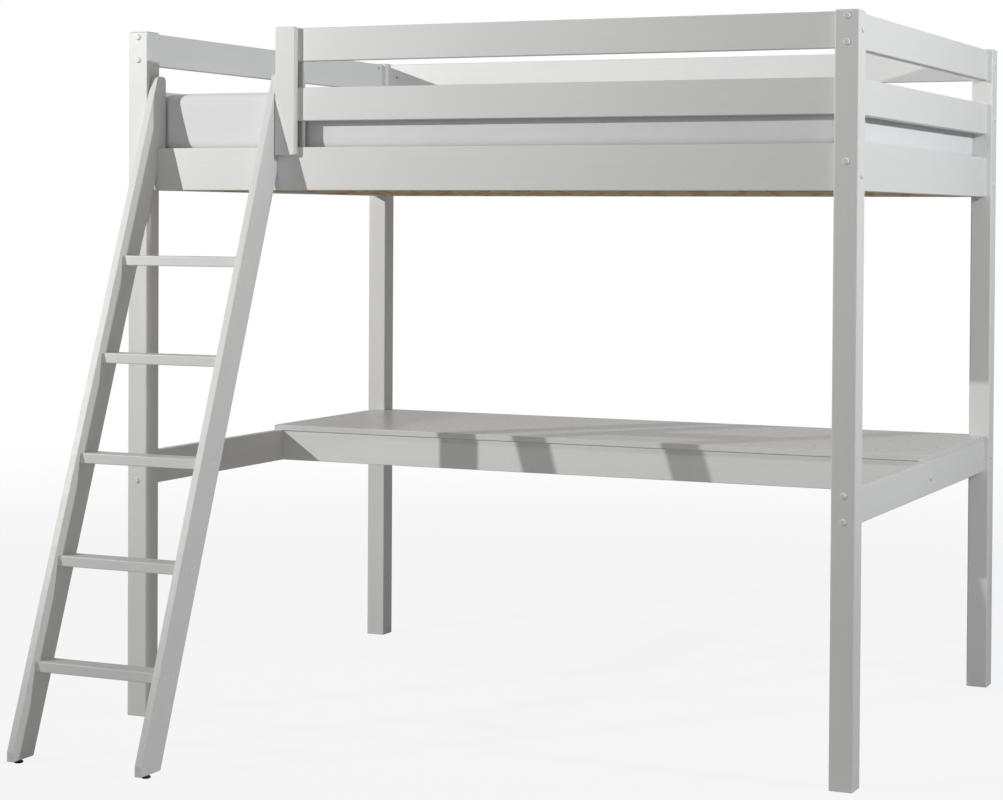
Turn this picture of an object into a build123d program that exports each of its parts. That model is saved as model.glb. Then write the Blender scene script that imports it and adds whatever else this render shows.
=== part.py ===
"""Loft bed with a desk beneath it and a hook-on ladder, as separate pieces of painted pine.

Millimetres. X runs along the bed from left to right, Y from the front to the back and Z up.
The origin is on the floor, under the middle of the bounding box, ladder and bolt caps included.
"""
from build123d import *
import math
import os

os.makedirs("parts", exist_ok=True)

# Overall size, measured over the posts.
length = 2100
width = 1500
height = 1915
post = 62
post_round = 4
post_chamfer = 4
foot_chamfer = 1.5

# Every rail is one board thick and sits on the centre line of the posts.
rail = 28
rail_round = 2.5
rail_inset = (post - rail) / 2

# Underside and height of each level of rails.
upper_z, upper_h = 1822, 90
middle_z, middle_h = 1661, 90
main_z, main_h = 1473, 117
desk_z, desk_h = 648, 92

# Fixing heights, staggered so that crossing bolts miss each other inside a post.
upper_mid = upper_z + upper_h / 2
middle_mid = middle_z + middle_h / 2
main_mid = main_z + main_h / 2
desk_mid = desk_z + desk_h / 2
pair = 32
spread = 27
end_stagger, side_stagger = 12.5, 21.5
end_dowels_low, end_dowels_high = 44, 43
side_dowels_low, side_dowels_high = 46, 30

# Connector bolts, barrel nuts, caps and dowels.
bolt_r = 3
bolt_reach = 42
bolt_bore_r = 3.3
bolt_bore_spare = 4
head_r, head_h = 6, 4
sink_r, sink_depth = 6.5, 5
socket_flats, socket_depth = 4, 2.5
nut_r, nut_length = 5, 16
nut_thread_gap = 0.05
nut_offset_end, nut_offset_side = 20, 32
nut_bore_r, nut_bore_depth = 5.1, 22
nut_wall = 3
cap_r, cap_h, cap_dome = 8.5, 4, 3.6
cap_lip_r, cap_lip = 6.3, 0.8
dowel_r, dowel_half = 4, 20
dowel_fit, dowel_spare = 0.02, 1

# Guard uprights that close the front guard rails beside the ladder.
upright_w = 60
outer_t, inner_t = 19, 14
upright_x = 501
outer_z = 1568
inner_z = 1572
upright_corner, upright_round = 6, 2
upright_screw_x, upright_screw_z = 15, 22
upright_low_screw = 9
upright_bite = 12

# Slat support: bearers and centre beams share one depth.
bearer_t = 28
bearer_h = 80
bearer_gap = 0.5
bearer_bite = 17
bearer_screw_first, bearer_screw_step, bearer_screw_count = -900, 300, 7
beam_spread = 600
beam_pilot = 50
slat_count = 16
slat_w, slat_t = 70, 18
slat_gap, slat_round = 2, 2
strap_w, strap_t = 25, 1
strap_inset, strap_end_inset = 90, 5

# Mattress.
mattress_l, mattress_w, mattress_h = 2000, 1374, 175
mattress_corner = 22
mattress_edge = 18
mattress_gap = 0.5

# Desk.
desktop_t = 16
desktop_front = 786
desktop_round = 1.5
apron_t = 22
apron_front = 792
post_clear = 1
bracket = 25
bracket_w = 20
bracket_t = 2
bracket_hole = 0.6
bracket_up, bracket_side = 10, 12
bracket_ys, bracket_x = (980, 1290), 350

# Ladder. The boards lean back; toe_reach is how far they stand out in front of the posts.
stringer_t = 21
stringer_w = 90
stringer_left = 63.5
stringer_right = 448
lean = math.radians(20.65)
toe_reach = 641
toe_height = 25
sole_z = 9
hook_top = 1790
hook_back = 60
hook_drop = 18
hook_clear = 0.5
tread_t, tread_depth = 27, 64
tread_inset = 12
tread_pitch = 260.5
tread_first = 251
tread_count = 5
tread_edge = 3
hook_round, stringer_round = 14, 2
glide_r = 12.5
glide_lip, glide_waist = 3.5, 5
glide_stud_r, glide_stud = 3.95, 16
glide_bore_r, glide_bore = 4, 18
glide_back = 36

# Screws.
screw_r = 2
screw_head_r = 4
screw_head_h = 2.5
screw_bore_r = 2.1
head_bore_r = 4.1
pan_h = 1.5
beam_screw, tread_screw = 70, 48
tread_pilot = 36
tread_screw_ys = (28, 62)
plug_r, plug_h, plug_round = 4, 5, 0.5

# Derived places.
front = -(width + cap_h - toe_reach) / 2
back = front + width
middle_y = front + width / 2
post_x = length / 2 - post / 2
front_y = front + post / 2
back_y = back - post / 2
inner_x = length / 2 - post
face_x = length / 2 - rail_inset - rail
front_face_y = front + rail_inset + rail
back_face_y = back - rail_inset - rail
left_x = -length / 2
slat_z = main_z + bearer_h
mattress_z = slat_z + slat_t + strap_t + mattress_gap
apron_y = front + apron_front + apron_t / 2
upright_mid_x = left_x + upright_x
guard_end_x = upright_mid_x - upright_w / 2

x_way, y_way, z_way = Vector(1, 0, 0), Vector(0, 1, 0), Vector(0, 0, 1)


def save(piece, name):
    """Label a finished piece and write its STEP file."""
    piece.part.label = name
    export_step(piece.part, f"parts/{name}.step")


def frame_at(point, way):
    """A plane at a point whose normal is the given way."""
    return Plane(origin=point, z_dir=way)


def bore(points, way, radius, depth):
    """Cut round bores into the current part, from points and along one way."""
    with Locations(*[frame_at(point, way) for point in points]):
        Cylinder(radius, depth, align=(Align.CENTER, Align.CENTER, Align.MIN), mode=Mode.SUBTRACT)


def bored_part(bores):
    """Cut a list of (point, way, radius, depth) bores into the current part."""
    for point, way, radius, depth in bores:
        bore([point], way, radius, depth)


def ends_along_x(x_low, y, heights):
    """Points where a lengthwise rail meets its posts, with the way out; x_low None is a free left end."""
    points = [(Vector(x_low, y, z), -x_way) for z in heights if x_low is not None]
    return points + [(Vector(inner_x, y, z), x_way) for z in heights]


def ends_along_y(x, heights):
    """Points on a crosswise rail's end faces, with the way out through each post."""
    low = [(Vector(x, front + post, z), -y_way) for z in heights]
    return low + [(Vector(x, back - post, z), y_way) for z in heights]


def inward_from(point, way):
    """The way from a rail's board towards the inside of the bed."""
    if abs(way.X) > 0.5:
        return y_way if point.Y < middle_y else -y_way
    return x_way if point.X < 0 else -x_way


def nut_offset(way):
    """How far a barrel nut sits from the joint of its board."""
    return nut_offset_side if abs(way.X) > 0.5 else nut_offset_end


def board_bores(bolts, dowels):
    """Bores that a board needs at its ends: bolt, barrel nut and dowel holes."""
    bores = []
    for point, way in bolts:
        inward = inward_from(point, way)
        nut_mouth = point - way * nut_offset(way) + inward * rail / 2
        bores.append((point, -way, bolt_bore_r, bolt_reach + bolt_bore_spare))
        bores.append((nut_mouth, -inward, nut_bore_r, nut_bore_depth))
    for point, way in dowels:
        bores.append((point, -way, dowel_r, dowel_half))
    return bores


def make_board(name, size, centre, long_axis, bores=()):
    """One planed board with eased long edges and its bores."""
    with BuildPart() as board:
        with Locations(centre):
            Box(*size)
        fillet(board.edges().filter_by(long_axis), rail_round)
        bored_part(bores)
    save(board, name)


def bracket_bores(spots):
    """Pilot bores in a board for the sideways screws of its desk brackets."""
    return [(point - z_way * bracket * bracket_hole, -way, screw_r, bracket_side) for point, way in spots]


# Fixing heights at each level of rails.
crosswise_levels = {
    "upper": (upper_z, upper_h, [upper_mid - pair, upper_mid + pair], [upper_mid]),
    "middle": (middle_z, middle_h, [], [middle_mid - spread, middle_mid + spread]),
    "main": (main_z, main_h, [main_mid + end_stagger],
             [main_mid - end_dowels_low, main_mid + end_dowels_high]),
    "desk": (desk_z, desk_h, [desk_mid - pair, desk_mid + pair], [desk_mid]),
}
lengthwise_levels = {
    "upper": (upper_z, upper_h, [upper_mid], [upper_mid - spread, upper_mid + spread]),
    "middle": (middle_z, middle_h, [middle_mid], [middle_mid - spread, middle_mid + spread]),
    "main": (main_z, main_h, [main_mid - side_stagger],
             [main_mid - side_dowels_low, main_mid + side_dowels_high]),
    "desk": (desk_z, desk_h, [desk_mid], [desk_mid - spread, desk_mid + spread]),
}

end_bolts, side_bolts, dowels = [], [], []

# Screw places that two pieces share.
beam_ys = (middle_y - beam_spread / 2, middle_y + beam_spread / 2)
beam_screw_z = main_mid
bearer_screw_xs = [bearer_screw_first + bearer_screw_step * i for i in range(bearer_screw_count)]
bearer_screw_z = main_z + bearer_h / 2
upright_screws = [(0, main_z + main_h - upright_low_screw)]
for board_mid in (upper_mid, middle_mid):
    upright_screws.append((-upright_screw_x, board_mid + upright_screw_z))
    upright_screws.append((upright_screw_x, board_mid - upright_screw_z))
outer_face_y = front + rail_inset - outer_t
inner_back_y = front_face_y + inner_t
upright_screw_reach = inner_t + rail + upright_bite
bearer_reach = bearer_t + bearer_bite
desk_top_z = desk_z + desk_h
bracket_xs = (-bracket_x, bracket_x)
bracket_ends = [(Vector(s * face_x, front + y, desk_top_z), -x_way * s) for s in (-1, 1) for y in bracket_ys]
bracket_fronts = [(Vector(x, apron_y + apron_t / 2, desk_top_z), y_way) for x in bracket_xs]
bracket_backs = [(Vector(x, back_face_y, desk_top_z), -y_way) for x in bracket_xs]
bracket_spots = bracket_ends + bracket_fronts + bracket_backs


# ---- Rails across the two ends, and the end rails of the desk ----
for side, sign in (("left", -1), ("right", 1)):
    x = sign * post_x
    outer_x = sign * (length / 2 - rail_inset)
    for level, (low, tall, bolt_zs, dowel_zs) in crosswise_levels.items():
        own_bolts = ends_along_y(x, bolt_zs)
        own_dowels = ends_along_y(x, dowel_zs)
        end_bolts += own_bolts
        dowels += own_dowels
        bores = board_bores(own_bolts, own_dowels)
        if level == "main":
            for y in beam_ys:
                place = Vector(outer_x, y, beam_screw_z)
                bores.append((place, -x_way * sign, screw_bore_r, rail))
                bores.append((place, -x_way * sign, plug_r, plug_h + screw_head_h))
        if level == "desk":
            place = Vector(outer_x, apron_y, desk_mid)
            bores.append((place, -x_way * sign, bolt_bore_r, rail))
            bores.append((place, -x_way * sign, sink_r, sink_depth))
            bores += bracket_bores([spot for spot in bracket_ends if spot[0].X * sign > 0])
        name = f"desk_rail_{side}" if level == "desk" else f"end_rail_{side}_{level}"
        size = (rail, width - 2 * post, tall)
        make_board(name, size, (x, middle_y, low + tall / 2), Axis.Y, bores)


# ---- Rails along the front and the back ----
def lengthwise(name, y, level, x_low, bolts_used, extra=()):
    """One lengthwise rail from x_low to the right post, bolted to the posts it meets."""
    low, tall, bolt_zs, dowel_zs = lengthwise_levels[level]
    left_end = None if x_low > -inner_x else x_low
    own_bolts = ends_along_x(left_end, y, bolt_zs) if bolts_used else []
    own_dowels = ends_along_x(left_end, y, dowel_zs)
    side_bolts.extend(own_bolts)
    dowels.extend(own_dowels)
    bores = board_bores(own_bolts, own_dowels) + list(extra)
    size = (inner_x - x_low, rail, tall)
    make_board(name, size, ((inner_x + x_low) / 2, y, low + tall / 2), Axis.X, bores)


def upright_bores(low, high):
    """Screw bores through a front rail between two heights, beside the ladder."""
    places = [(x, z) for x, z in upright_screws if low < z < high]
    return [(Vector(upright_mid_x + x, front_face_y, z), -y_way, screw_bore_r, rail) for x, z in places]


def bearer_bores(y, way):
    """Pilot bores in a main rail for the screws of its slat bearer."""
    return [(Vector(x, y, bearer_screw_z), way, screw_bore_r, bearer_bite) for x in bearer_screw_xs]


upper_extra = upright_bores(upper_z, upper_z + upper_h)
middle_extra = upright_bores(middle_z, middle_z + middle_h)
lengthwise("guard_rail_front_upper", front_y, "upper", guard_end_x, True, upper_extra)
lengthwise("guard_rail_front_lower", front_y, "middle", guard_end_x, False, middle_extra)
front_extra = upright_bores(main_z, main_z + main_h) + bearer_bores(front_face_y, -y_way)
lengthwise("side_rail_front", front_y, "main", -inner_x, True, front_extra)
lengthwise("guard_rail_back_upper", back_y, "upper", -inner_x, True)
lengthwise("guard_rail_back_lower", back_y, "middle", -inner_x, True)
lengthwise("side_rail_back", back_y, "main", -inner_x, True, bearer_bores(back_face_y, y_way))
lengthwise("desk_rail_back", back_y, "desk", -inner_x, True, bracket_bores(bracket_backs))


# ---- Corner posts ----
def meets_post(point, x, y):
    """Whether a rail's end point lies on the post centred at x, y."""
    return abs(point.X - x) <= post / 2 + 0.1 and abs(point.Y - y) <= post / 2 + 0.1


def make_post(name, x, y):
    """One corner post with bolt bores, head recesses and dowel holes."""
    bores = []
    for point, way in end_bolts + side_bolts:
        if meets_post(point, x, y):
            bores.append((point, way, bolt_bore_r, post))
            bores.append((point + way * (post - sink_depth), way, sink_r, sink_depth))
    for point, way in dowels:
        if meets_post(point, x, y):
            bores.append((point, way, dowel_r, dowel_half))
    with BuildPart() as piece:
        with BuildSketch():
            with Locations((x, y)):
                RectangleRounded(post, post, post_round)
        extrude(amount=height)
        chamfer(piece.faces().sort_by(Axis.Z)[-1].edges(), post_chamfer)
        chamfer(piece.faces().sort_by(Axis.Z)[0].edges(), foot_chamfer)
        bored_part(bores)
    save(piece, name)


make_post("post_front_left", -post_x, front_y)
make_post("post_front_right", post_x, front_y)
make_post("post_back_left", -post_x, back_y)
make_post("post_back_right", post_x, back_y)


# ---- Guard uprights ----
def make_upright(name, y_low, thick, z_low, z_high, screw_depth):
    """One short plank that clamps the front guard rails, with screw bores from its back."""
    with BuildPart() as plank:
        with BuildSketch(Plane.XZ.offset(-y_low - thick)):
            with Locations((upright_mid_x, (z_low + z_high) / 2)):
                RectangleRounded(upright_w, z_high - z_low, upright_corner)
        extrude(amount=thick)
        fillet(plank.faces().sort_by(Axis.Y)[0].edges(), upright_round)
        places = [Vector(upright_mid_x + x, y_low + thick, z) for x, z in upright_screws]
        bore(places, -y_way, screw_bore_r, screw_depth)
    save(plank, name)


make_upright("guard_upright_outer", outer_face_y, outer_t, outer_z, height, upright_bite)
make_upright("guard_upright_inner", front_face_y, inner_t, inner_z, upper_z + upper_h, inner_t)


# ---- Slat bearers, centre beams, slats and straps ----
def make_bearer(name, y, way):
    """A pine bearer screwed to the inner face of a main rail; way points to the rail."""
    places = [Vector(x, y - way.Y * bearer_t / 2, bearer_screw_z) for x in bearer_screw_xs]
    bores = [(place, way, screw_bore_r, bearer_t) for place in places]
    bores += [(place, way, head_bore_r, screw_head_h) for place in places]
    size = (2 * (inner_x - bearer_gap), bearer_t, bearer_h)
    make_board(name, size, (0, y, main_z + bearer_h / 2), Axis.X, bores)


make_bearer("slat_bearer_front", front_face_y + bearer_t / 2, -y_way)
make_bearer("slat_bearer_back", back_face_y - bearer_t / 2, y_way)
for name, y in (("centre_beam_front", beam_ys[0]), ("centre_beam_back", beam_ys[1])):
    pilots = [(Vector(s * face_x, y, beam_screw_z), -x_way * s, screw_bore_r, beam_pilot) for s in (-1, 1)]
    make_board(name, (2 * face_x, bearer_t, bearer_h), (0, y, main_z + bearer_h / 2), Axis.X, pilots)

slat_span = 2 * (inner_x - slat_gap) - slat_w
slat_xs = [-slat_span / 2 + slat_span * i / (slat_count - 1) for i in range(slat_count)]
slat_length = back_face_y - front_face_y - 2 * slat_gap
with BuildPart() as slats:
    with Locations(*[(x, middle_y, slat_z + slat_t / 2) for x in slat_xs]):
        Box(slat_w, slat_length, slat_t)
    fillet(slats.edges().filter_by(Axis.Y), slat_round)
save(slats, "slats")

strap_y = slat_length / 2 - strap_inset
with BuildPart() as slat_straps:
    with Locations(*[(0, middle_y + s * strap_y, slat_z + slat_t + strap_t / 2) for s in (-1, 1)]):
        Box(slat_span + slat_w - 2 * strap_end_inset, strap_w, strap_t)
save(slat_straps, "slat_straps")


# ---- Mattress ----
with BuildPart() as mattress:
    with BuildSketch(Plane.XY.offset(mattress_z)):
        with Locations((0, middle_y)):
            RectangleRounded(mattress_l, mattress_w, mattress_corner)
    extrude(amount=mattress_h)
    fillet(mattress.faces().sort_by(Axis.Z)[-1].edges(), mattress_edge)
    fillet(mattress.faces().sort_by(Axis.Z)[0].edges(), mattress_edge)
save(mattress, "mattress")


# ---- Desk ----
apron_bolts = [(Vector(s * face_x, apron_y, desk_mid), x_way * s) for s in (-1, 1)]
apron_bores = []
for point, way in apron_bolts:
    nut_mouth = point - way * nut_offset(way) + y_way * apron_t / 2
    apron_bores.append((point, -way, bolt_bore_r, bolt_reach + bolt_bore_spare))
    apron_bores.append((nut_mouth, -y_way, nut_bore_r, apron_t - nut_wall))
apron_bores += bracket_bores(bracket_fronts)
make_board("desk_apron", (2 * face_x, apron_t, desk_h), (0, apron_y, desk_mid), Axis.X, apron_bores)

with BuildPart() as desktop:
    with BuildSketch(Plane.XY.offset(desk_top_z)):
        with Locations((0, (front + desktop_front + back - rail_inset) / 2)):
            Rectangle(length - 2 * rail_inset, width - rail_inset - desktop_front)
        with Locations((-post_x, back_y), (post_x, back_y)):
            Rectangle(post + 2 * post_clear, post + 2 * post_clear, mode=Mode.SUBTRACT)
    extrude(amount=desktop_t)
    fillet(desktop.faces().sort_by(Axis.Z)[-1].edges(), desktop_round)
    pilots = [point + way * bracket * bracket_hole for point, way in bracket_spots]
    bore(pilots, z_way, screw_r, bracket_up)
save(desktop, "desktop")


def bracket_plane(spot):
    """Plane at a board's top inner edge: X away from the board, Z up."""
    point, way = spot
    return Plane(origin=point, x_dir=way, z_dir=z_way)


with BuildPart() as one_bracket:
    with BuildSketch(Plane.XZ.offset(-bracket_w / 2)):
        with BuildLine():
            Polyline((0, 0), (bracket, 0), (bracket, -bracket_t), (bracket_t, -bracket_t),
                     (bracket_t, -bracket), (0, -bracket), close=True)
        make_face()
    extrude(amount=bracket_w)
    bore([Vector(bracket * bracket_hole, 0, 0)], -z_way, screw_bore_r, bracket_t)
    bore([Vector(0, 0, -bracket * bracket_hole)], x_way, screw_bore_r, bracket_t)

with BuildPart() as desk_brackets:
    with Locations(*[bracket_plane(spot) for spot in bracket_spots]):
        add(one_bracket.part)
save(desk_brackets, "desk_brackets")

with BuildPart() as one_pair:
    with Locations((bracket * bracket_hole, 0, -bracket_t)):
        Cylinder(screw_r, bracket_t + bracket_up, align=(Align.CENTER, Align.CENTER, Align.MIN))
        Cylinder(screw_head_r, pan_h, align=(Align.CENTER, Align.CENTER, Align.MAX))
    with Locations(frame_at(Vector(bracket_t, 0, -bracket * bracket_hole), -x_way)):
        Cylinder(screw_r, bracket_t + bracket_side, align=(Align.CENTER, Align.CENTER, Align.MIN))
        Cylinder(screw_head_r, pan_h, align=(Align.CENTER, Align.CENTER, Align.MAX))

with BuildPart() as bracket_screws:
    with Locations(*[bracket_plane(spot) for spot in bracket_spots]):
        add(one_pair.part)
save(bracket_screws, "bracket_screws")


# ---- Connector bolts, caps, barrel nuts and dowels ----
def make_bolt(through):
    """A connector bolt on Z: the board joint is at zero and the outer face at through."""
    head_low = through - sink_depth
    with BuildPart() as bolt:
        with Locations((0, 0, -bolt_reach)):
            Cylinder(bolt_r, bolt_reach + head_low, align=(Align.CENTER, Align.CENTER, Align.MIN))
        with Locations((0, 0, head_low)):
            Cylinder(head_r, head_h, align=(Align.CENTER, Align.CENTER, Align.MIN))
        with BuildSketch(Plane.XY.offset(head_low + head_h)):
            RegularPolygon(socket_flats / 2, 6, major_radius=False)
        extrude(amount=-socket_depth, mode=Mode.SUBTRACT)
    return bolt.part


def place_all(name, piece, sites):
    """Repeat one piece at every site and save the group."""
    with BuildPart() as group:
        with Locations(*[frame_at(point, way) for point, way in sites]):
            add(piece)
    save(group, name)


place_all("end_rail_bolts", make_bolt(post), end_bolts)
place_all("side_rail_bolts", make_bolt(post), side_bolts)
place_all("apron_bolts", make_bolt(rail), apron_bolts)

with BuildPart() as one_cap:
    Cylinder(cap_r, cap_h, align=(Align.CENTER, Align.CENTER, Align.MIN))
    fillet(one_cap.edges().sort_by(Axis.Z)[-1], cap_dome)
    Cylinder(cap_lip_r, cap_lip, align=(Align.CENTER, Align.CENTER, Align.MAX))

cap_sites = [(point + way * post, way) for point, way in end_bolts + side_bolts]
cap_sites += [(point + way * rail, way) for point, way in apron_bolts]
place_all("bolt_caps", one_cap.part, cap_sites)

with BuildPart() as one_nut:
    Cylinder(nut_r, nut_length)
    with Locations(Plane.XZ):
        Cylinder(bolt_r + nut_thread_gap, 3 * nut_r, mode=Mode.SUBTRACT)

nut_planes = []
for point, way in end_bolts + side_bolts + apron_bolts:
    nut_planes.append(Plane(origin=point - way * nut_offset(way), x_dir=z_way, z_dir=inward_from(point, way)))
with BuildPart() as barrel_nuts:
    with Locations(*nut_planes):
        add(one_nut.part)
save(barrel_nuts, "barrel_nuts")

with BuildPart() as wood_dowels:
    with Locations(*[frame_at(point, way) for point, way in dowels]):
        Cylinder(dowel_r - dowel_fit, 2 * dowel_half - dowel_spare)
save(wood_dowels, "wood_dowels")


# ---- Wood screws and their plugs ----
def make_screw(reach):
    """A flat-headed screw on Z: its head is flush at zero and the shank goes down."""
    with BuildPart() as screw:
        Cylinder(screw_r, reach, align=(Align.CENTER, Align.CENTER, Align.MAX))
        Cylinder(screw_head_r, screw_head_h, align=(Align.CENTER, Align.CENTER, Align.MAX))
    return screw.part


bearer_sites = [(Vector(x, front_face_y + bearer_t, bearer_screw_z), y_way) for x in bearer_screw_xs]
bearer_sites += [(Vector(x, back_face_y - bearer_t, bearer_screw_z), -y_way) for x in bearer_screw_xs]
place_all("bearer_screws", make_screw(bearer_reach), bearer_sites)

beam_sites = [(Vector(s * (face_x + rail), y, beam_screw_z), x_way * s) for s in (-1, 1) for y in beam_ys]
place_all("beam_screws", make_screw(beam_screw), [(point - way * plug_h, way) for point, way in beam_sites])

with BuildPart() as one_plug:
    Cylinder(plug_r, plug_h, align=(Align.CENTER, Align.CENTER, Align.MAX))
    fillet(one_plug.faces().sort_by(Axis.Z)[-1].edges(), plug_round)
place_all("beam_plugs", one_plug.part, beam_sites)

head_y = inner_back_y + screw_head_h
upright_sites = [(Vector(upright_mid_x + x, head_y, z), y_way) for x, z in upright_screws]
place_all("upright_screws", make_screw(upright_screw_reach + screw_head_h), upright_sites)


# ---- Ladder ----
rise = math.tan(lean)
across = stringer_w / math.cos(lean)
toe_y = front - toe_reach
toe_top = sole_z + toe_height
rest_y = front + rail_inset - hook_clear
hook_y = front + hook_back
catch_y = front_face_y + hook_clear
seat_z = main_z + main_h
tab_z = seat_z - hook_drop


def front_edge(z):
    """Y of the ladder's leaning front edge at a height."""
    return toe_y + (z - toe_top) * rise


def rear_edge(z):
    """Y of the ladder's leaning rear edge at a height."""
    return front_edge(z) + across


flush_z = toe_top + (rest_y - toe_y - across) / rise
tread_tops = [tread_first + tread_pitch * i for i in range(tread_count)]
glide_y = toe_y + glide_back


def tread_sites(x, way):
    """Screw places on a stringer's outer face, two for each tread."""
    places = []
    for top in tread_tops:
        for step in tread_screw_ys:
            places.append((Vector(x, front_edge(top) + step, top - tread_t / 2), way))
    return places


def make_stringer(name, x_low, outer_way):
    """One leaning side board with its hook, toe, screw bores and glide hole."""
    outer_x = x_low if outer_way.X < 0 else x_low + stringer_t
    places = [point for point, _ in tread_sites(outer_x, outer_way)]
    with BuildPart() as board:
        with BuildSketch(Plane.YZ.offset(x_low)):
            with BuildLine():
                Polyline((toe_y, sole_z), (rear_edge(sole_z), sole_z), (rest_y, flush_z), (rest_y, seat_z),
                         (catch_y, seat_z), (catch_y, tab_z), (hook_y, tab_z), (hook_y, hook_top),
                         (front_edge(hook_top), hook_top), (toe_y, toe_top), close=True)
            make_face()
        extrude(amount=stringer_t)
        cross_edges = board.edges().filter_by(Axis.X)
        fillet(cross_edges.group_by(Axis.Z)[-1], hook_round)
        fillet(board.faces().sort_by(Axis.X)[0].edges(), stringer_round)
        fillet(board.faces().sort_by(Axis.X)[-1].edges(), stringer_round)
        bore(places, -outer_way, screw_bore_r, stringer_t)
        bore(places, -outer_way, plug_r, plug_h + screw_head_h)
        bore([Vector(x_low + stringer_t / 2, glide_y, sole_z)], z_way, glide_bore_r, glide_bore)
    save(board, name)


left_low = left_x + stringer_left
right_low = left_x + stringer_right
make_stringer("ladder_stringer_left", left_low, -x_way)
make_stringer("ladder_stringer_right", right_low, x_way)

tread_mid_x = (left_low + stringer_t + right_low) / 2
tread_length = right_low - left_low - stringer_t
for number, top in enumerate(tread_tops, start=1):
    with BuildPart() as tread:
        with Locations((tread_mid_x, front_edge(top) + tread_inset + tread_depth / 2, top - tread_t / 2)):
            Box(tread_length, tread_depth, tread_t)
        fillet(tread.edges().filter_by(Axis.X), tread_edge)
        for way in (-x_way, x_way):
            places = [point for point, _ in tread_sites(tread_mid_x + way.X * tread_length / 2, way)]
            near = [point for point in places if abs(point.Z - top) < tread_t]
            bore(near, -way, screw_bore_r, tread_pilot)
    save(tread, f"ladder_tread_{number}")

ladder_sites = tread_sites(left_low, -x_way) + tread_sites(right_low + stringer_t, x_way)
sunk_sites = [(point - way * plug_h, way) for point, way in ladder_sites]
place_all("tread_screws", make_screw(tread_screw), sunk_sites)
place_all("tread_plugs", one_plug.part, ladder_sites)

with BuildPart() as one_glide:
    with BuildSketch(Plane.XZ):
        with BuildLine():
            Line((0, 0), (glide_r - 4, 0))
            ThreePointArc((glide_r - 4, 0), (glide_r - 1, 1.2), (glide_r, glide_lip))
            Line((glide_r, glide_lip), (glide_r - glide_waist, sole_z))
            Line((glide_r - glide_waist, sole_z), (0, sole_z))
            Line((0, sole_z), (0, 0))
        make_face()
    revolve(axis=Axis.Z)
    with Locations((0, 0, sole_z)):
        Cylinder(glide_stud_r, glide_stud, align=(Align.CENTER, Align.CENTER, Align.MIN))
glide_sites = [(Vector(x + stringer_t / 2, glide_y, 0), z_way) for x in (left_low, right_low)]
place_all("ladder_glides", one_glide.part, glide_sites)

print("pieces written:", len(os.listdir("parts")))
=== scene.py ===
import math

import bmesh
import bpy
import numpy as np
from mathutils import Matrix, Vector
from mathutils.bvhtree import BVHTree


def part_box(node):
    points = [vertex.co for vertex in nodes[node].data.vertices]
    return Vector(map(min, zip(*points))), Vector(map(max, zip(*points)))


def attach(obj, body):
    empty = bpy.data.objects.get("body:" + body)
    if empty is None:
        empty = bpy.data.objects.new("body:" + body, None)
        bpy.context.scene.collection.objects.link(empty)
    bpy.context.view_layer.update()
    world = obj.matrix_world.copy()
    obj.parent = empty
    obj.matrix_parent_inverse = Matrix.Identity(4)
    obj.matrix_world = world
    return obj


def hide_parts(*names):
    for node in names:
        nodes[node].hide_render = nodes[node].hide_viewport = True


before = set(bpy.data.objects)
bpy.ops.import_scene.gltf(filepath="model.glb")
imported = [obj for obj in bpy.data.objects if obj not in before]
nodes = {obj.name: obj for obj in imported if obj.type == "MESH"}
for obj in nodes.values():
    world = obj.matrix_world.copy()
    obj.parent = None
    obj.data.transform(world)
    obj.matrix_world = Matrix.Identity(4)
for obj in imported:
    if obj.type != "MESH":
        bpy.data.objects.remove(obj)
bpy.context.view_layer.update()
scene = bpy.context.scene
scene.view_settings.view_transform = "Standard"

# Camera: turn, tilt and roll in degrees, lens and sensor in millimetres, and where it stands.
YAW, PITCH, ROLL = 24.031, -1.135, 0.342
LENS, SENSOR = 84.23, 36
SHIFT_X, SHIFT_Y = -0.0231, -0.1346
STAND = (2.6355, -5.9739, 1.4003)

# Light: the even part, and how much of the white room shows in reflections.
AMBIENT = 0.2
GLOSS_ROOM = 0.4

# Floor: its radius, where it starts and stops fading out, and how white it is to the camera.
FLOOR_RADIUS = 30
FADE_START, FADE_END = 2.5, 9
FLOOR_LIFT = 0.88

# How far the ladder's grain leans with its side boards.
LADDER_LEAN = math.radians(20.65)

# Mattress: cell size, how far the start shape is inside its space, and how far the cloth may swell.
VOXEL = 0.013
INSET = 0.006
PRESSURE = 4
FRAMES = 20
SWELL = 0.0055

# Then its crown, its upright corners and how full its ends are.
CROWN = 0.008
CORNER = 0.034
SQUARENESS = 0.95
END_FILL = 1.6
FULL_EDGE = 6
EDGE_DRAW = 0.3

# Low seam, drawn in near the edges, and the piping that follows it.
SEAM_RISE = 0.012
SEAM_WIDTH = 0.014
SEAM_DEPTH = 0.0035
SEAM_EDGE = 0.04
PIPING = 0.0028
PIPING_CORNER = 0.06
PIPING_STEP = 0.04
PIPING_CORE = 0.12
PIPING_AWAY = 0.05

# The foam fills the bed out to the rails, except beside the pieces that press into it.
CLEAR = 0.0006
PRESS_MARGIN = 0.002
PRESS_FADE = 0.012
BESIDE_FRONT = ("post_front_left", "ladder_stringer_left", "ladder_stringer_right", "guard_upright_inner",
                "post_front_right")
BESIDE_BACK = ("post_back_left", "post_back_right")


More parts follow.
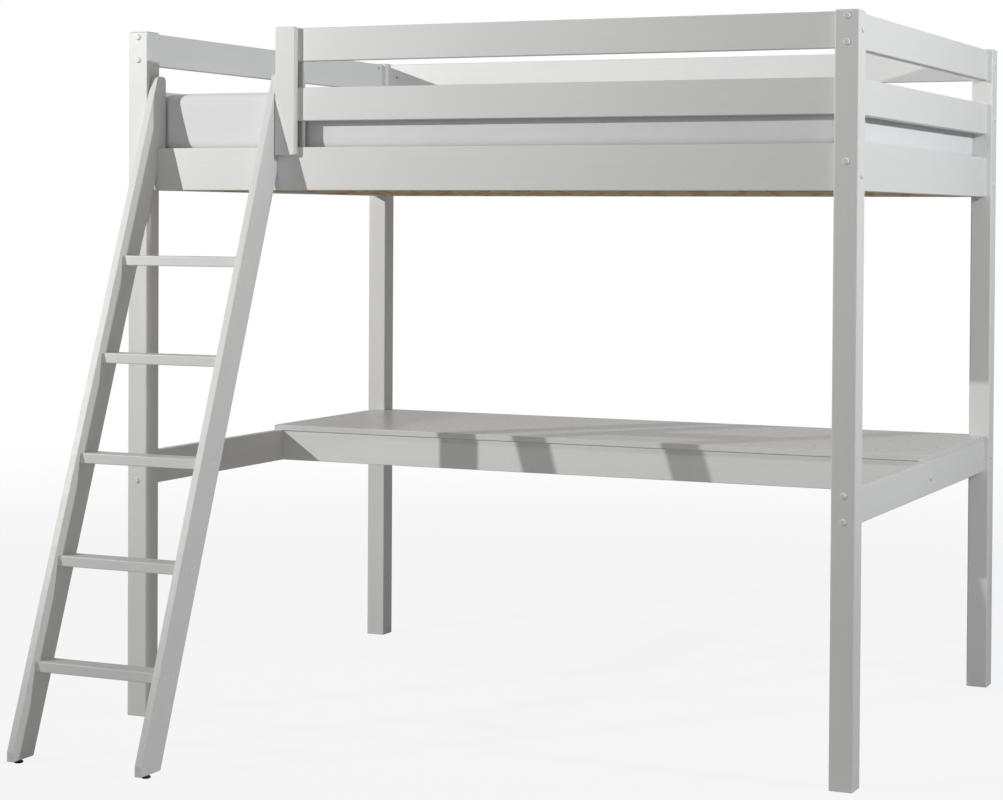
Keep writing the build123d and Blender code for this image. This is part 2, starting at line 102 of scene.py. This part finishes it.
# ---------------------------------------------------------------- camera and light
def make_camera():
    """The camera at the viewing angle of the picture this part was built from."""
    yaw, pitch, roll = (math.radians(angle) for angle in (YAW, PITCH, ROLL))
    ahead = Vector((-math.sin(yaw) * math.cos(pitch), math.cos(yaw) * math.cos(pitch), math.sin(pitch)))
    side = Vector((math.cos(yaw), math.sin(yaw), 0))
    up = side.cross(ahead)
    right = side * math.cos(roll) + up * math.sin(roll)
    top = up * math.cos(roll) - side * math.sin(roll)
    data = bpy.data.cameras.new("camera")
    data.lens, data.sensor_width = LENS, SENSOR
    data.shift_x, data.shift_y = SHIFT_X, SHIFT_Y
    camera = bpy.data.objects.new("camera", data)
    scene.collection.objects.link(camera)
    turn = Matrix((right, top, -ahead)).transposed()
    camera.matrix_world = Matrix.Translation(STAND) @ turn.to_4x4()
    scene.camera = camera


def hang_lamp(kind, name, place, target, power, colour):
    """A lamp at a place, turned to a target; gives back its data."""
    data = bpy.data.lights.new(name, kind)
    data.energy, data.color = power, colour
    lamp = bpy.data.objects.new(name, data)
    lamp.location = place
    lamp.rotation_euler = (Vector(target) - Vector(place)).to_track_quat("-Z", "Y").to_euler()
    scene.collection.objects.link(lamp)
    return data


def area_light(name, place, target, side, power, colour):
    """A square soft light."""
    hang_lamp("AREA", name, place, target, power, colour).size = side


def spot_light(name, place, target, radius, angle, power, colour):
    """A spot with a soft rim."""
    data = hang_lamp("SPOT", name, place, target, power, colour)
    data.shadow_soft_size = radius
    data.spot_size, data.spot_blend = math.radians(angle), 1


def make_world():
    """Even soft light from all round; the camera, and in part reflections, see a plain white room."""
    world = bpy.data.worlds.new("studio")
    world.use_nodes = True
    tree = world.node_tree
    tree.nodes.clear()
    seen, light = (tree.nodes.new("ShaderNodeBackground") for _ in range(2))
    seen.inputs["Color"].default_value = (1, 1, 1, 1)
    light.inputs["Color"].default_value = (1, 1, 0.985, 1)
    light.inputs["Strength"].default_value = AMBIENT
    path = tree.nodes.new("ShaderNodeLightPath")
    glint, share = (tree.nodes.new("ShaderNodeMath") for _ in range(2))
    glint.operation, share.operation = "MULTIPLY", "MAXIMUM"
    glint.inputs[1].default_value = GLOSS_ROOM
    tree.links.new(path.outputs["Is Glossy Ray"], glint.inputs[0])
    tree.links.new(path.outputs["Is Camera Ray"], share.inputs[0])
    tree.links.new(glint.outputs[0], share.inputs[1])
    mix = tree.nodes.new("ShaderNodeMixShader")
    out = tree.nodes.new("ShaderNodeOutputWorld")
    tree.links.new(share.outputs[0], mix.inputs[0])
    tree.links.new(light.outputs[0], mix.inputs[1])
    tree.links.new(seen.outputs[0], mix.inputs[2])
    tree.links.new(mix.outputs[0], out.inputs["Surface"])
    scene.world = world


# ---------------------------------------------------------------- materials
class Shader:
    """A Principled material with helpers that add and link nodes."""

    def __init__(self, name, rough, **constants):
        self.material = bpy.data.materials.new(name)
        self.material.use_nodes = True
        self.tree = self.material.node_tree
        self.skin = self.tree.nodes["Principled BSDF"]
        self.skin.inputs["Roughness"].default_value = rough
        for socket, value in constants.items():
            self.skin.inputs[socket.replace("_", " ")].default_value = value
        self.place = self.add("ShaderNodeTexCoord").outputs["Object"]

    def add(self, kind, **inputs):
        node = self.tree.nodes.new(kind)
        for socket, value in inputs.items():
            self.feed(node, socket.replace("_", " "), value)
        return node

    def feed(self, node, socket, value):
        if isinstance(value, bpy.types.NodeSocket):
            self.tree.links.new(value, node.inputs[socket])
        else:
            node.inputs[socket].default_value = value

    def stretched(self, scale, turn=(0, 0, 0)):
        """Object coordinates scaled per axis, after a turn."""
        turned = self.add("ShaderNodeMapping", Vector=self.place, Rotation=turn).outputs[0]
        return self.add("ShaderNodeMapping", Vector=turned, Scale=scale).outputs[0]

    def noise(self, vector, scale, detail=4.0, rough=0.55, distortion=0.0):
        node = self.add("ShaderNodeTexNoise", Vector=vector, Scale=scale, Detail=detail)
        node.inputs["Roughness"].default_value = rough
        node.inputs["Distortion"].default_value = distortion
        return node.outputs[0]

    def ramp(self, factor, stops):
        """A colour ramp from (position, colour) stops."""
        node = self.add("ShaderNodeValToRGB", Fac=factor)
        marks = node.color_ramp.elements
        while len(marks) < len(stops):
            marks.new(0.5)
        for mark, (where, colour) in zip(marks, stops):
            mark.position, mark.color = where, (*colour, 1)
        return node.outputs["Color"]

    def span(self, factor, low, high):
        """A 0-1 value carried to a range."""
        node = self.add("ShaderNodeMapRange", Value=factor)
        node.inputs["To Min"].default_value, node.inputs["To Max"].default_value = low, high
        return node.outputs[0]

    def blend(self, kind, factor, first, second):
        """Mixes two colours."""
        node = self.tree.nodes.new("ShaderNodeMix")
        node.data_type, node.blend_type = "RGBA", kind
        for index, value in ((0, factor), (6, first), (7, second)):
            if isinstance(value, bpy.types.NodeSocket):
                self.tree.links.new(value, node.inputs[index])
            else:
                node.inputs[index].default_value = value
        return node.outputs[2]

    def bump(self, height, strength, distance, below=None):
        node = self.add("ShaderNodeBump", Height=height, Strength=strength, Distance=distance)
        if below is not None:
            self.feed(node, "Normal", below)
        return node.outputs[0]

    def finish(self, colour, rough=None, normal=None):
        self.feed(self.skin, "Base Color", colour)
        if rough is not None:
            self.feed(self.skin, "Roughness", rough)
        if normal is not None:
            self.feed(self.skin, "Normal", normal)
        return self.material


def along(axis, fine, coarse):
    """Texture scale that stretches a pattern along one axis."""
    return tuple(coarse if name == axis else fine for name in "XYZ")


def paint(name, axis, turn=(0, 0, 0), sheen=(0.34, 0.48), painted_shade=1.0):
    """Satin white paint over pine: faint brushed grain, soft cloudiness and a sheen that varies. A shade
    factor below 1 darkens the whole colour as painted shade.
    """
    s = Shader(name, 0.42, Specular_IOR_Level=0.45)
    grain = s.noise(s.stretched(along(axis, 150, 4), turn), 1, 6, 0.6, 0.3)
    figure = s.noise(s.stretched(along(axis, 26, 1.5), turn), 1, 3, 0.5, 1.2)
    cloudy = s.noise(s.place, 3.2, 3)
    peel = s.noise(s.place, 420, 2)
    # The shade factor scales the paint colour down: painted shade, not a different paint.
    dark, light = ([channel * painted_shade for channel in colour]
                   for colour in ((0.802, 0.805, 0.795), (0.818, 0.82, 0.811)))
    tone = s.ramp(grain, [(0.3, dark), (0.7, light)])
    tone = s.blend("MULTIPLY", 0.3, tone, s.ramp(figure, [(0.3, (0.965, 0.962, 0.955)), (0.65, (1, 1, 1))]))
    tone = s.blend("MULTIPLY", 0.5, tone, s.ramp(cloudy, [(0.3, (0.97, 0.975, 0.98)), (0.7, (1, 1, 1))]))
    low = s.bump(figure, 0.08, 0.0005)
    mid = s.bump(grain, 0.07, 0.0002, low)
    normal = s.bump(peel, 0.08, 0.0001, mid)
    return s.finish(tone, s.span(s.noise(s.place, 38, 4), *sheen), normal)


def pine(name, axis):
    """Bare planed pine: pale early wood, darker late-wood lines along the board and soft darker patches."""
    s = Shader(name, 0.6, Specular_IOR_Level=0.3)
    path = s.stretched(along(axis, 1, 0.07))
    warp = s.noise(path, 9, 3, 0.5, 0.4)
    rings = s.add("ShaderNodeTexWave", Vector=path, Scale=42, Distortion=7.0, Detail=2.0)
    rings.inputs["Detail Scale"].default_value = 1.4
    fibre = s.noise(s.stretched(along(axis, 700, 12)), 1, 4, 0.6)
    tone = s.ramp(rings.outputs["Fac"], [(0.15, (0.9, 0.74, 0.53)), (0.55, (0.95, 0.83, 0.64)),
                                        (0.9, (0.76, 0.57, 0.37))])
    tone = s.blend("MULTIPLY", 0.5, tone, s.ramp(fibre, [(0.3, (0.86, 0.82, 0.76)), (0.7, (1, 1, 1))]))
    tone = s.blend("MULTIPLY", 0.6, tone, s.ramp(warp, [(0.35, (0.88, 0.84, 0.78)), (0.7, (1, 1, 1))]))
    normal = s.bump(fibre, 0.25, 0.0002, s.bump(rings.outputs["Fac"], 0.2, 0.0004))
    return s.finish(tone, s.span(fibre, 0.5, 0.68), normal)


def knit(name):
    """Brushed white mattress cover: fine knit loops, soft creases and a faint cool tint."""
    s = Shader(name, 0.86, Specular_IOR_Level=0.2, Sheen_Weight=0.35, Sheen_Roughness=0.5)
    loops = s.add("ShaderNodeTexVoronoi", Vector=s.place, Scale=430).outputs["Distance"]
    creases = s.noise(s.stretched((5, 7, 16)), 1, 4, 0.55, 0.8)
    cloudy = s.noise(s.place, 5, 3)
    tone = s.ramp(cloudy, [(0.3, (0.865, 0.868, 0.89)), (0.7, (0.895, 0.898, 0.915))])
    tone = s.blend("MULTIPLY", 0.35, tone, s.ramp(loops, [(0.05, (1, 1, 1)), (0.6, (0.86, 0.86, 0.88))]))
    normal = s.bump(loops, 0.3, 0.0005, s.bump(creases, 0.35, 0.004))
    return s.finish(tone, None, normal)


def webbing(name):
    """Woven strap: diagonal ribs across a pale band."""
    s = Shader(name, 0.8, Specular_IOR_Level=0.2)
    ribs = s.add("ShaderNodeTexWave", Vector=s.place, Scale=160, Distortion=0.4).outputs["Fac"]
    threads = s.noise(s.place, 900, 3)
    tone = s.ramp(ribs, [(0.2, (0.56, 0.54, 0.5)), (0.8, (0.76, 0.74, 0.69))])
    tone = s.blend("MULTIPLY", 0.4, tone, s.ramp(threads, [(0.3, (0.85, 0.85, 0.85)), (0.7, (1, 1, 1))]))
    return s.finish(tone, None, s.bump(ribs, 0.6, 0.0004))


def zinc(name):
    """Bright zinc plating with fine turning marks and patchy dulling."""
    s = Shader(name, 0.3, Metallic=1.0)
    marks = s.noise(s.place, 1500, 3)
    patches = s.noise(s.place, 90, 4)
    tone = s.ramp(patches, [(0.3, (0.52, 0.53, 0.55)), (0.7, (0.7, 0.7, 0.71))])
    return s.finish(tone, s.span(patches, 0.22, 0.45), s.bump(marks, 0.15, 0.0001))


def moulded(name, dark, light, rough):
    """Moulded plastic with a faint texture and slight tone changes."""
    s = Shader(name, rough, Specular_IOR_Level=0.5)
    grit = s.noise(s.place, 1300, 2)
    cloudy = s.noise(s.place, 60, 3)
    tone = s.ramp(cloudy, [(0.3, dark), (0.7, light)])
    return s.finish(tone, s.span(cloudy, rough * 0.85, rough * 1.15), s.bump(grit, 0.12, 0.0001))


def dress(names, material):
    """Gives CAD nodes a material."""
    for name in names:
        for holder in nodes[name].material_slots:
            holder.material = material


def dress_all():
    paint_x = paint("paint_along_x", "X")
    paint_y = paint("paint_along_y", "Y")
    paint_z = paint("paint_along_z", "Z")
    paint_ladder = paint("paint_ladder", "Z", (-LADDER_LEAN, 0, 0))
    dress([n for n in nodes if n.startswith("post_")], paint_z)
    dress(["guard_upright_outer", "guard_upright_inner"], paint_z)
    dress([n for n in nodes if n.startswith(("end_rail_", "desk_rail_left", "desk_rail_right"))], paint_y)
    dress([n for n in nodes if n.startswith(("guard_rail_", "ladder_tread_"))], paint_x)
    dress(["side_rail_front", "side_rail_back", "desk_rail_back", "desk_apron"], paint_x)
    # The desktop gets a darker copy of the same white paint: painted shade, so its top reads less lit.
    dress(["desktop"], paint("paint_desktop", "X", sheen=(0.25, 0.32), painted_shade=0.93))
    dress(["ladder_stringer_left", "ladder_stringer_right"], paint_ladder)
    dress(["slat_bearer_front", "slat_bearer_back", "centre_beam_front", "centre_beam_back", "wood_dowels"],
          pine("pine_along_x", "X"))
    dress(["slats"], pine("pine_along_y", "Y"))
    dress(["slat_straps"], webbing("strap_webbing"))
    metal = zinc("zinc_plate")
    dress([n for n in nodes if n.endswith(("_bolts", "_screws", "_nuts", "_brackets"))], metal)
    dress(["bolt_caps"], moulded("white_caps", (0.76, 0.765, 0.765), (0.81, 0.815, 0.815), 0.3))
    dress(["beam_plugs", "tread_plugs"], moulded("white_plugs", (0.88, 0.89, 0.91), (0.93, 0.94, 0.96), 0.4))
    dress(["ladder_glides"], moulded("black_glides", (0.012, 0.012, 0.013), (0.03, 0.03, 0.032), 0.5))


# ---------------------------------------------------------------- mattress
def remeshed_copy(source, name):
    """A copy of a CAD node, drawn in a little and remeshed into even cells."""
    piece = bpy.data.objects.new(name, source.data.copy())
    scene.collection.objects.link(piece)
    low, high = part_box(source.name)
    middle, half = (low + high) / 2, (high - low) / 2
    for vertex in piece.data.vertices:
        for i in range(3):
            vertex.co[i] = middle[i] + (vertex.co[i] - middle[i]) * (half[i] - INSET) / half[i]
    mesh = bmesh.new()
    mesh.from_mesh(piece.data)
    bmesh.ops.remove_doubles(mesh, verts=mesh.verts, dist=1e-5)
    mesh.to_mesh(piece.data)
    mesh.free()
    step = piece.modifiers.new("cells", "REMESH")
    step.mode, step.voxel_size = "VOXEL", VOXEL
    bake(piece)
    return piece


def bake(piece):
    """Applies every modifier of a piece."""
    graph = bpy.context.evaluated_depsgraph_get()
    made = bpy.data.meshes.new_from_object(piece.evaluated_get(graph))
    piece.modifiers.clear()
    piece.data = made


def points_of(mesh):
    flat = np.empty(len(mesh.vertices) * 3)
    mesh.vertices.foreach_get("co", flat)
    return flat.reshape(-1, 3)


def set_points(mesh, points):
    mesh.vertices.foreach_set("co", points.ravel())
    mesh.update()


def plump(piece):
    """Swells a closed piece as cloth under pressure, and caps how far each point moves."""
    start = points_of(piece.data)
    cloth = piece.modifiers.new("swell", "CLOTH")
    rules = cloth.settings
    rules.quality, rules.mass = 4, 0.3
    rules.use_pressure, rules.uniform_pressure_force = True, PRESSURE
    rules.effector_weights.gravity = 0
    cloth.collision_settings.use_collision = False
    cloth.point_cache.frame_start, cloth.point_cache.frame_end = 1, FRAMES
    for number in range(1, FRAMES + 1):
        scene.frame_set(number)
    bake(piece)
    scene.frame_set(1)
    move = points_of(piece.data) - start
    size = np.linalg.norm(move, axis=1, keepdims=True)
    set_points(piece.data, start + move * np.minimum(1, SWELL / np.maximum(size, 1e-9)))


def free_length(x, names):
    """1 where nothing presses into the mattress at x, falling to 0 beside the named pieces."""
    free = np.ones_like(x)
    for name in names:
        low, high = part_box(name)
        away = np.clip((np.maximum(low.x - x, x - high.x) - PRESS_MARGIN) / PRESS_FADE, 0, 1)
        free = np.minimum(free, away * away * (3 - 2 * away))
    return free


def square_corners(points, middle, half):
    """Pushes the rounded upright corners out towards square ones."""
    way = np.sign(points[:, :2] - middle[:2])
    reach = np.abs(points[:, :2] - middle[:2]) - (half[:2] - CORNER)
    inside = np.clip(reach / CORNER, 0, None)
    longest = np.maximum(inside.max(axis=1), 1e-9)
    stretch = np.where(longest > 1e-6, np.linalg.norm(inside, axis=1) / longest, 1)
    points[:, :2] += way * np.clip(reach, 0, None) * SQUARENESS * (stretch[:, None] - 1)


def shape_mattress(piece, low, high):
    """Crowns the top, lets the sides and ends out to the rails and draws the low seam in."""
    points = points_of(piece.data)
    middle, half = (low + high) / 2, (high - low) / 2
    square_corners(points, np.array(middle), np.array(half))
    across = [np.clip(np.abs(points[:, i] - middle[i]) / half[i], 0, 1) for i in (0, 1)]
    upward = (points[:, 2] - middle[2]) / half[2]
    seam = np.clip(1 - np.abs(points[:, 2] - low.z - SEAM_RISE) / SEAM_WIDTH, 0, 1) ** 1.5
    crown = (1 - across[0] ** 4) * (1 - across[1] ** 4)
    points[:, 2] += CROWN * crown * np.clip(upward, 0, 1) ** 2

    out_front = (low.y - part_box("side_rail_front")[1].y - CLEAR) * free_length(points[:, 0], BESIDE_FRONT)
    out_back = (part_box("side_rail_back")[0].y - high.y - CLEAR) * free_length(points[:, 0], BESIDE_BACK)
    out_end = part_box("end_rail_right_main")[0].x - high.x - CLEAR
    side = np.sign(points[:, 1] - middle[1])
    profile = 1 - EDGE_DRAW * np.clip(np.abs(upward), 0, 1) ** FULL_EDGE
    points[:, 1] += side * np.where(side < 0, out_front, out_back) * across[1] ** FULL_EDGE * profile
    points[:, 0] += np.sign(points[:, 0] - middle[0]) * END_FILL * out_end * across[0] ** FULL_EDGE * profile
    for i in (0, 1):
        edge = np.clip(1 - (1 - across[i]) / SEAM_EDGE, 0, 1)
        points[:, i] -= np.sign(points[:, i] - middle[i]) * SEAM_DEPTH * seam * edge
    points[:, 0] = np.clip(points[:, 0], low.x - out_end, high.x + out_end)
    points[:, 1] = np.clip(points[:, 1], low.y + CLEAR - out_front, high.y - CLEAR + out_back)
    points[:, 2] = np.clip(points[:, 2], low.z, high.z + CROWN)
    set_points(piece.data, points)


def piping(name, mattress, low, high, height):
    """A welted seam that follows the mattress's side at one height."""
    graph = bpy.context.evaluated_depsgraph_get()
    tree = BVHTree.FromObject(mattress, graph)
    middle = (low + high) / 2
    half_x, half_y = (high.x - low.x) / 2, (high.y - low.y) / 2
    route = []
    for quarter in range(4):
        centre_x = (half_x - PIPING_CORNER) * (1 if quarter in (0, 3) else -1)
        centre_y = (half_y - PIPING_CORNER) * (1 if quarter in (0, 1) else -1)
        for part in range(9):
            angle = math.radians(90 * quarter + 90 * part / 8)
            route.append(Vector((centre_x + PIPING_CORNER * math.cos(angle),
                                 centre_y + PIPING_CORNER * math.sin(angle), 0)))
    dense = []
    for first, second in zip(route, route[1:] + route[:1]):
        steps = max(1, int((second - first).length / PIPING_STEP))
        dense += [first.lerp(second, k / steps) for k in range(steps)]
    line = []
    for point in dense:
        inner = Vector((max(PIPING_CORE - half_x, min(half_x - PIPING_CORE, point.x)),
                        max(PIPING_CORE - half_y, min(half_y - PIPING_CORE, point.y)), 0))
        way = (inner - point).normalized()
        start = Vector((middle.x + point.x, middle.y + point.y, height)) - way * PIPING_AWAY
        hit = tree.ray_cast(start, way)[0]
        line.append(hit if hit else start + way * PIPING_AWAY)
    curve = bpy.data.curves.new(name, "CURVE")
    curve.dimensions = "3D"
    curve.bevel_depth, curve.bevel_resolution = PIPING, 3
    spline = curve.splines.new("POLY")
    spline.points.add(len(line) - 1)
    for spot, place in zip(spline.points, line):
        spot.co = (*place, 1)
    spline.use_cyclic_u = True
    seam = bpy.data.objects.new(name, curve)
    scene.collection.objects.link(seam)
    return seam


def make_mattress():
    low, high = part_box("mattress")
    cover = knit("mattress_knit")
    piece = remeshed_copy(nodes["mattress"], "mattress_pad")
    plump(piece)
    shape_mattress(piece, low, high)
    piece.data.materials.clear()
    piece.data.materials.append(cover)
    for face in piece.data.polygons:
        face.use_smooth = True
    finer = piece.modifiers.new("finer", "SUBSURF")
    finer.levels = finer.render_levels = 1
    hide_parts("mattress")
    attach(piece, "mattress")
    seam = piping("mattress_piping", piece, low, high, low.z + SEAM_RISE)
    seam.data.materials.append(cover)
    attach(seam, "mattress")


# ---------------------------------------------------------------- floor
def make_floor():
    """A pale round floor that fades out into the white behind it."""
    mesh = bpy.data.meshes.new("floor")
    shape = bmesh.new()
    bmesh.ops.create_circle(shape, cap_ends=True, radius=FLOOR_RADIUS, segments=96)
    shape.to_mesh(mesh)
    shape.free()
    floor = bpy.data.objects.new("floor", mesh)
    scene.collection.objects.link(floor)
    s = Shader("floor_white", 0.7, Specular_IOR_Level=0.2)
    faint = s.noise(s.place, 1.2, 3)
    s.finish(s.ramp(faint, [(0.3, (0.6, 0.6, 0.6)), (0.7, (0.62, 0.62, 0.62))]))
    reach = s.add("ShaderNodeVectorMath", Vector=s.place)
    reach.operation = "LENGTH"
    fade = s.add("ShaderNodeMapRange", Value=reach.outputs["Value"])
    fade.interpolation_type = "SMOOTHSTEP"
    fade.inputs["From Min"].default_value, fade.inputs["From Max"].default_value = FADE_START, FADE_END
    white = s.add("ShaderNodeEmission")
    lift = s.add("ShaderNodeMath", Value=s.add("ShaderNodeLightPath").outputs["Is Camera Ray"])
    lift.operation = "MULTIPLY"
    lift.inputs[1].default_value = FLOOR_LIFT
    lit = s.add("ShaderNodeMixShader", Fac=lift.outputs[0])
    s.tree.links.new(s.skin.outputs[0], lit.inputs[1])
    s.tree.links.new(white.outputs[0], lit.inputs[2])
    clear = s.add("ShaderNodeBsdfTransparent")
    mix = s.add("ShaderNodeMixShader")
    s.tree.links.new(fade.outputs[0], mix.inputs[0])
    s.tree.links.new(lit.outputs[0], mix.inputs[1])
    s.tree.links.new(clear.outputs[0], mix.inputs[2])
    s.tree.links.new(mix.outputs[0], s.tree.nodes["Material Output"].inputs["Surface"])
    mesh.materials.append(s.material)


make_camera()
make_world()
spot_light("key", (-4.43, -4.61, 3.12), (-1.3, 0, 2.95), radius=0.03, angle=80, power=1030,
           colour=(1, 0.995, 0.975))
spot_light("side", (4.42, -0.42, 2.9), (0, 0.1, 2.1), radius=0.06, angle=100, power=395,
           colour=(0.965, 0.98, 1))
area_light("front_fill", (1.8, -6.6, 2.4), (0, 0, 1.1), side=2.5, power=26, colour=(1, 1, 1))
make_floor()
dress_all()
make_mattress()
